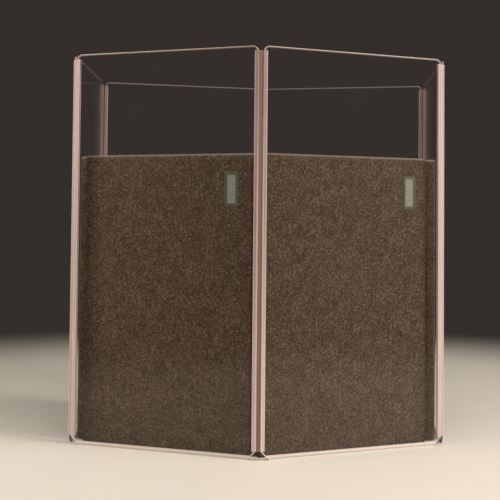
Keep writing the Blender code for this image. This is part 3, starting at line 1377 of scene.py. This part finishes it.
@dataclass(frozen=True)
class WovenLabel:
    """A bare woven label, stitched to the felt all round.

    Attributes:
        baffle: The name of the baffle that carries it.
        corner: The radius of its corners.
        cell: The mesh's cell.
        hem: How much thicker its turned edge is, and how wide that edge is.
        stitch_from_edge: How far inside the label the stitches run.
        stitch: The length of a stitch and of the space after it.
        thread: The thread's radius.
        proud: How far the stitches' middles stand out.
    """

    baffle: str
    corner: float = 0.002
    cell: float = 0.0035
    hem: Pair = (0.00025, 0.004)
    stitch_from_edge: float = 0.0017
    stitch: Pair = (0.0024, 0.0010)
    thread: float = 0.00032
    proud: float = 0.00008

    def build(self, nodes: Pieces) -> None:
        """Make the label and its stitches on the baffle's outer face.

        Args:
            nodes: The CAD nodes by name.
        """
        body = "baffle_" + self.baffle
        outward = PlateFrame.of_node(nodes[body + "_cover"]).through
        frame = PlateFrame.of_node(nodes[body + "_label"], outward)
        cloth = WovenCloth(
            warp=(0.44, 0.43, 0.325),
            weft=(0.25, 0.255, 0.18),
            pitch=0.0008,
            border=(0.050, 0.080, 0.045),
            border_at=(-0.001, 0.0088),
            rib=0.0096,
        )
        label = self.patch(body, frame)
        fit(label, cloth.make(label.name, frame), body, body + "_label")
        stitches = self.stitches(body, frame)
        fit(stitches, Thread().make(stitches.name), body)
        LOG.info("%s: woven label", body)

    def patch(self, body: str, frame: PlateFrame) -> Piece:
        """Make the label's cloth, its turned edge a little thicker than its middle.

        Args:
            body: The CAD body that carries it.
            frame: The label's frame.

        Returns:
            The label.
        """
        form = bmesh.new()
        bmesh.ops.create_cube(form, size=1, matrix=frame.block)
        upright = [e for e in form.edges if abs(e.verts[0].co.y - e.verts[1].co.y) > 0.0001]
        bmesh.ops.bevel(
            form, geom=upright, offset=self.corner, segments=3, profile=0.5, affect="EDGES"
        )
        for axis in (0, 2):
            cut_into_cells(form, axis, 0.0, frame.size[axis], self.cell)
        thicker, wide = self.hem
        for vertex in form.verts:
            if vertex.co.y < frame.size.y / 2:
                x, z = vertex.co.x, vertex.co.z
                inside = min(x, frame.size.x - x, z, frame.size.z - z)
                sunk = thicker * min(1.0, inside / wide)
                vertex.co.y += sunk + 0.0001 * (1 + drift(vertex.co, 0.02, 2.0))
        return add_object(body + "_woven_label", form, frame.matrix)

    def stitches(self, body: str, frame: PlateFrame) -> Piece:
        """Make a row of short stitches inside the label's edge.

        Args:
            body: The CAD body that carries them.
            frame: The label's frame.

        Returns:
            The stitches, as one piece.
        """
        form = bmesh.new()
        inset = self.stitch_from_edge
        width, height = frame.size.x - 2 * inset, frame.size.z - 2 * inset
        runs = (
            ((inset, 0, inset), (1, 0, 0), width),
            ((inset + width, 0, inset), (0, 0, 1), height),
            ((inset + width, 0, inset + height), (-1, 0, 0), width),
            ((inset, 0, inset + height), (0, 0, -1), height),
        )
        for start, ahead, length in runs:
            count = max(2, int(length / sum(self.stitch)))
            for index in range(count):
                along = Vector(ahead) * (length * (index + 0.5) / count)
                self.stitch_at(form, Vector(start) + along, Vector(ahead))
        return add_object(body + "_label_stitches", form, frame.matrix)

    def stitch_at(self, form: Form, middle: Vector, ahead: Vector) -> None:
        """Add one stitch: a short rounded strand that dips in at both ends.

        Args:
            form: The stitches made so far.
            middle: The middle of the stitch.
            ahead: The way that it runs.
        """
        turn = ahead.to_track_quat("Z", "Y")
        shape = Vector((self.thread, self.thread, self.stitch[0] / 2))
        matrix = Matrix.LocRotScale(middle + Vector((0, self.proud, 0)), turn, shape)
        bmesh.ops.create_icosphere(form, subdivisions=1, radius=1, matrix=matrix)


# The studio


@dataclass(frozen=True)
class SoftBox:
    """A square soft lamp.

    Attributes:
        side: The length of its side.
        mirrored: Whether gloss mirrors it.
    """

    name: str
    place: Triple
    aim: Triple
    side: float
    watts: float
    mirrored: bool = True
    tint: Triple = (1.0, 0.97, 0.93)

    def hang(self) -> None:
        """Add the lamp to the scene, out of the camera's sight."""
        lamp = bpy.data.lights.new(self.name, "AREA")
        lamp.shape = "SQUARE"
        lamp.size = self.side
        lamp.energy = self.watts
        lamp.color = self.tint
        stand = bpy.data.objects.new(self.name, lamp)
        stand.location = self.place
        toward = Vector(self.aim) - Vector(self.place)
        stand.rotation_euler = toward.to_track_quat("-Z", "Y").to_euler()
        stand.visible_camera = False
        stand.visible_glossy = self.mirrored
        bpy.context.scene.collection.objects.link(stand)


@dataclass(frozen=True)
class Camera:
    """The photograph's viewpoint, with angles in degrees.

    Attributes:
        place: The lens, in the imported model's frame.
        yaw: How far it points to the right of +Y.
        pitch: How far it points above the horizon.
        roll: How far it is turned anticlockwise about its view.
        lens: The focal length in millimetres on a 36 mm frame.
        shift: The lens shift that frames the shield, as a share of the frame.
    """

    place: Triple = (-0.0155, -3.5431, 0.6927)
    yaw: float = 0.627
    pitch: float = 2.0406
    roll: float = 0.4925
    lens: float = 74.486
    shift: Pair = (-0.04095, -0.12694)

    def set_up(self) -> None:
        """Add the camera and make it the scene's."""
        optics = bpy.data.cameras.new("camera")
        optics.lens = self.lens
        optics.shift_x, optics.shift_y = self.shift
        yaw, pitch, roll = (math.radians(angle) for angle in (self.yaw, self.pitch, self.roll))
        level = math.cos(pitch)
        ahead = Vector((math.sin(yaw) * level, math.cos(yaw) * level, math.sin(pitch)))
        camera = bpy.data.objects.new("camera", optics)
        camera.location = self.place
        camera.rotation_mode = "QUATERNION"
        turn = ahead.to_track_quat("-Z", "Y").to_matrix().to_4x4()
        camera.rotation_quaternion = (turn @ Matrix.Rotation(roll, 4, "Z")).to_quaternion()
        bpy.context.scene.collection.objects.link(camera)
        bpy.context.scene.camera = camera


@dataclass(frozen=True)
class Studio:
    """A plain pale floor that runs into an even backdrop, under soft lamps.

    Attributes:
        worn: How bright the floor's worn patches are beside the rest.
        light: The colour of the light from all round.
        ambient: The strength of that light.
        blend: Where the floor starts and ends fading into the backdrop, from the middle.
        clear_bounces: How many clear surfaces a ray may pass.
    """

    floor: Triple = (0.80, 0.72, 0.615)
    worn: float = 0.93
    backdrop: Triple = (0.034, 0.028, 0.025)
    light: Triple = (1.0, 0.98, 0.95)
    ambient: float = 0.15
    blend: Pair = (1.75, 3.4)
    floor_radius: float = 40.0
    clear_bounces: int = 40
    camera: Camera = field(default_factory=Camera)
    lamps: tuple[SoftBox, ...] = (
        SoftBox("key", (3.3, -1.9, 3.2), (0.1, -0.4, 0.4), 1.8, 146),
        SoftBox("front", (0.3, -5.4, 2.5), (0.0, -0.3, 0.5), 1.6, 15),
        SoftBox("left", (-1.6, -0.85, 1.35), (-0.5, -0.35, 0.75), 0.7, 12, mirrored=False),
        SoftBox("right", (1.7, -0.9, 1.1), (0.5, -0.35, 0.6), 0.7, 4, mirrored=False),
        SoftBox("overhead", (0.0, -1.6, 4.2), (0.0, -0.8, 0.0), 2.4, 60),
    )

    def set_up(self) -> None:
        """Add the floor, the backdrop, the lamps and the camera."""
        self.camera.set_up()
        for lamp in self.lamps:
            lamp.hang()
        self.lay_floor()
        self.light_world()
        scene = bpy.context.scene
        scene.view_settings.view_transform = "Standard"
        scene.cycles.transparent_max_bounces = self.clear_bounces
        LOG.info("studio: %d lamps", len(self.lamps))

    def lay_floor(self) -> None:
        """Lay a round floor whose far part shines like the backdrop, so that no edge shows."""
        form = bmesh.new()
        bmesh.ops.create_circle(form, cap_ends=True, segments=96, radius=self.floor_radius)
        floor = add_object("studio_floor", form, Matrix.Identity(4), smooth=False)
        surface = Surface("studio_floor")
        place = surface.position()
        worn = tuple(channel * self.worn for channel in self.floor)
        colour = surface.mixed(surface.noise(place, 3.0, 5.0, 0.6), worn, self.floor)
        glow = surface.add("Emission", {"Color": self.backdrop, "Strength": 1.0})
        surface.cover(surface.smooth(surface.vector("LENGTH", place), *self.blend), glow)
        inputs = {"Base Color": colour, "Roughness": 0.75, "Specular IOR Level": 0.25}
        floor.data.materials.append(surface.coat(inputs))

    def light_world(self) -> None:
        """Set the backdrop where it is seen or mirrored, and a plain even light elsewhere."""
        world = bpy.data.worlds.new("studio")
        world.use_nodes = True
        graph = Graph(world.node_tree)
        seen = graph.add("Background", {"Color": self.backdrop, "Strength": 1.0})
        light = graph.add("Background", {"Color": self.light, "Strength": self.ambient})
        ray = graph.add("LightPath").outputs
        shown = graph.most(ray["Is Camera Ray"], ray["Is Glossy Ray"])
        shown = graph.most(shown, ray["Is Transmission Ray"])
        shaders = {0: shown, 1: light.outputs[0], 2: seen.outputs[0]}
        mixed = graph.add("MixShader", shaders).outputs[0]
        graph.feed(world.node_tree.nodes["World Output"].inputs["Surface"], mixed)
        bpy.context.scene.world = world


def main() -> None:
    """Load the frame, set up the studio and dress the shield piece by piece."""
    logging.basicConfig(level=logging.INFO, format="%(message)s")
    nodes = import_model()["nodes"]
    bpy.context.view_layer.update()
    Studio().set_up()
    for part in Part:
        ClearPanel(part).dress(nodes)
    for hinge in Hinge:
        FlexibleWeb(hinge).dress(nodes)
    felt = Felt().make("felt")
    for name in ("front_left", "front_right", "side_left", "side_right"):
        Baffle(name).build(nodes, felt)
    for name in ("front_left", "front_right"):
        WovenLabel(name).build(nodes)


if __name__ == "__main__":
    main()
